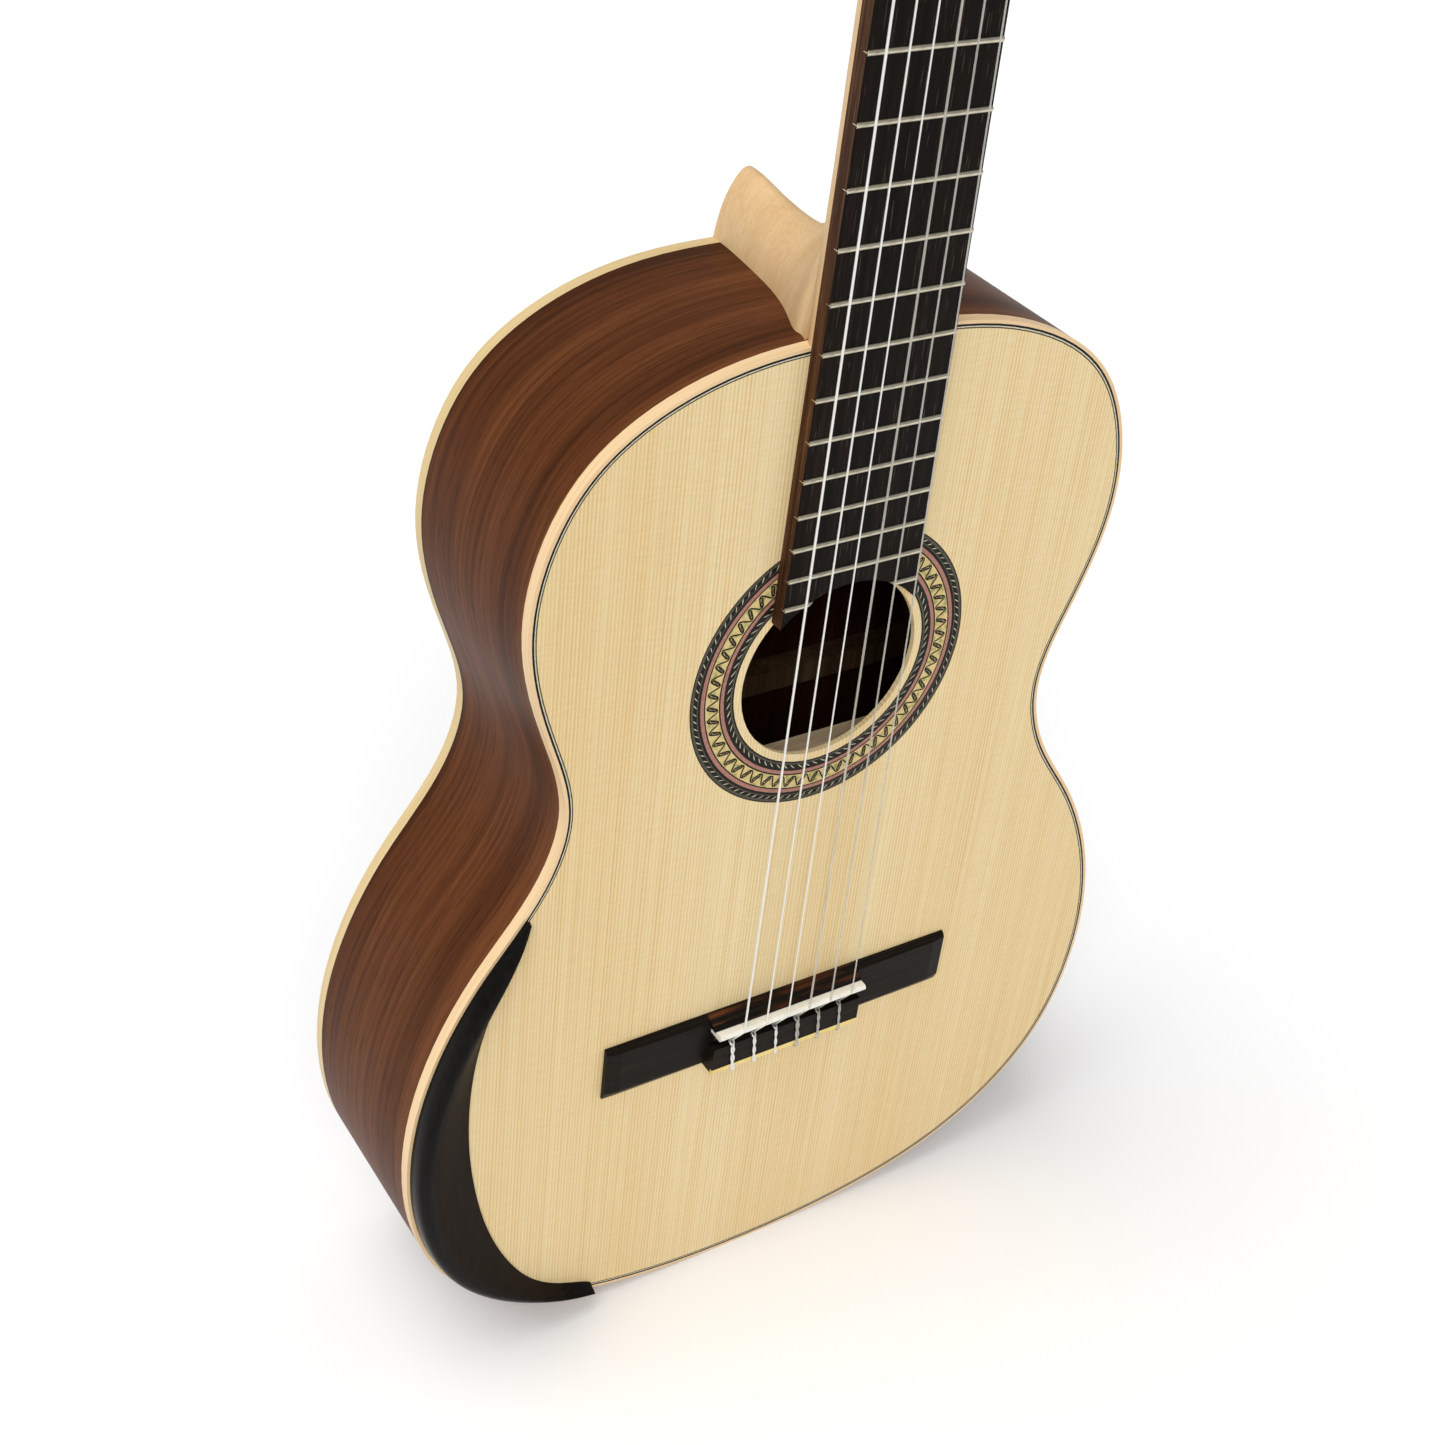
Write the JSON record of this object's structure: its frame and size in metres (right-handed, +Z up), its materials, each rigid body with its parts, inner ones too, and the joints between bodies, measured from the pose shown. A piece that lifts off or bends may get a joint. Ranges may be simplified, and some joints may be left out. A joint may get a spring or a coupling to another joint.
{
  "type": "classical guitar",
  "caption": "Full-size classical guitar with slotted head, worm-geared tuners, inlaid rosette, tie bridge, nylon strings and a raised wooden armrest.",
  "frame": {"origin": "centre line of the neck at the nut end of the fingerboard, on the plane where the fingerboard is glued to the neck, which is also the plane of the soundboard face; a hanger holds the neck here", "axes": "+Z up the neck towards the head, -Y out of the soundboard, +X towards the treble side"},
  "size_m": [0.371, 0.1115, 1.0093],
  "materials": {
    "spruce_top": "satin, fine straight grain",
    "rosette_inlay": "satin inlay",
    "purfling": "satin",
    "maple_binding": "satin",
    "dark_wood": "satin, open grain",
    "inner_cedar": "bare",
    "inner_spruce": "bare",
    "maple_neck": "satin",
    "ebony": "satin, fine pores",
    "fret_wire": "polished",
    "bone": "satin",
    "black_rosewood": "satin",
    "ivory_strip": "satin",
    "plated_brass": "polished",
    "clear_nylon": "clear",
    "wound_silver": "fine winding",
    "gear_steel": "polished",
    "gear_brass": "machined",
    "roller_plastic": "gloss",
    "button_pearl": "pearl"
  },
  "bodies": {
    "guitar": {"soundboard": "spruce_top", "rosette": "rosette_inlay", "top_purfling": "purfling", "top_binding": "maple_binding", "back": "dark_wood", "back_binding": "maple_binding", "bass_side": "dark_wood", "treble_side": "dark_wood", "neck_block": "inner_cedar", "tail_block": "inner_cedar", "linings": "inner_cedar", "harmonic_bars": "inner_spruce", "fan_braces": "inner_spruce", "back_braces": "inner_cedar", "back_centre_strip": "inner_spruce", "neck": "maple_neck", "heel_cap": "maple_neck", "fingerboard": "ebony", "frets": "fret_wire", "nut": "bone", "bridge": "black_rosewood", "tie_block_trim": "ivory_strip", "saddle": "bone", "armrest": "black_rosewood", "headstock": "maple_neck", "head_veneer": "dark_wood", "bass_tuner_plate": "plated_brass", "treble_tuner_plate": "plated_brass", "worm_brackets": "plated_brass", "tuner_screws": "plated_brass", "string_1": "clear_nylon", "string_2": "clear_nylon", "string_3": "clear_nylon", "string_4": "wound_silver", "string_5": "wound_silver", "string_6": "wound_silver"},
    "tuner_button_1": {"worm_1": "gear_steel", "button_1": "button_pearl"},
    "string_roller_1": {"roller_1": "roller_plastic", "gear_1": "gear_brass"},
    "tuner_button_2": {"worm_2": "gear_steel", "button_2": "button_pearl"},
    "string_roller_2": {"roller_2": "roller_plastic", "gear_2": "gear_brass"},
    "tuner_button_3": {"worm_3": "gear_steel", "button_3": "button_pearl"},
    "string_roller_3": {"roller_3": "roller_plastic", "gear_3": "gear_brass"},
    "tuner_button_4": {"worm_4": "gear_steel", "button_4": "button_pearl"},
    "string_roller_4": {"roller_4": "roller_plastic", "gear_4": "gear_brass"},
    "tuner_button_5": {"worm_5": "gear_steel", "button_5": "button_pearl"},
    "string_roller_5": {"roller_5": "roller_plastic", "gear_5": "gear_brass"},
    "tuner_button_6": {"worm_6": "gear_steel", "button_6": "button_pearl"},
    "string_roller_6": {"roller_6": "roller_plastic", "gear_6": "gear_brass"}
  },
  "joints": [
    {"name": "button_turn_1", "type": "hinge", "parent": "guitar", "child": "tuner_button_1", "pos_m": [0.0422, 0.02647, 0.06903], "axis": [0, 0.9659, -0.2588], "continuous": true},
    {"name": "roller_turn_1", "type": "hinge", "parent": "guitar", "child": "string_roller_1", "pos_m": [0.0422, 0.02422, 0.06063], "axis": [1, 0, 0], "continuous": true},
    {"name": "button_turn_2", "type": "hinge", "parent": "guitar", "child": "tuner_button_2", "pos_m": [0.0422, 0.03553, 0.10284], "axis": [0, 0.9659, -0.2588], "continuous": true},
    {"name": "roller_turn_2", "type": "hinge", "parent": "guitar", "child": "string_roller_2", "pos_m": [0.0422, 0.03328, 0.09443], "axis": [1, 0, 0], "continuous": true},
    {"name": "button_turn_3", "type": "hinge", "parent": "guitar", "child": "tuner_button_3", "pos_m": [0.0422, 0.04459, 0.13664], "axis": [0, 0.9659, -0.2588], "continuous": true},
    {"name": "roller_turn_3", "type": "hinge", "parent": "guitar", "child": "string_roller_3", "pos_m": [0.0422, 0.04234, 0.12824], "axis": [1, 0, 0], "continuous": true},
    {"name": "button_turn_4", "type": "hinge", "parent": "guitar", "child": "tuner_button_4", "pos_m": [-0.0422, 0.04459, 0.13664], "axis": [0, 0.9659, -0.2588], "continuous": true},
    {"name": "roller_turn_4", "type": "hinge", "parent": "guitar", "child": "string_roller_4", "pos_m": [-0.0422, 0.04234, 0.12824], "axis": [1, 0, 0], "continuous": true},
    {"name": "button_turn_5", "type": "hinge", "parent": "guitar", "child": "tuner_button_5", "pos_m": [-0.0422, 0.03553, 0.10284], "axis": [0, 0.9659, -0.2588], "continuous": true},
    {"name": "roller_turn_5", "type": "hinge", "parent": "guitar", "child": "string_roller_5", "pos_m": [-0.0422, 0.03328, 0.09443], "axis": [1, 0, 0], "continuous": true},
    {"name": "button_turn_6", "type": "hinge", "parent": "guitar", "child": "tuner_button_6", "pos_m": [-0.0422, 0.02647, 0.06903], "axis": [0, 0.9659, -0.2588], "continuous": true},
    {"name": "roller_turn_6", "type": "hinge", "parent": "guitar", "child": "string_roller_6", "pos_m": [-0.0422, 0.02422, 0.06063], "axis": [1, 0, 0], "continuous": true}
  ],
  "couplings": [
    {"joint": "button_turn_1", "follows": "roller_turn_1", "ratio": 14},
    {"joint": "button_turn_2", "follows": "roller_turn_2", "ratio": 14},
    {"joint": "button_turn_3", "follows": "roller_turn_3", "ratio": 14},
    {"joint": "button_turn_4", "follows": "roller_turn_4", "ratio": 14},
    {"joint": "button_turn_5", "follows": "roller_turn_5", "ratio": 14},
    {"joint": "button_turn_6", "follows": "roller_turn_6", "ratio": 14}
  ]
}
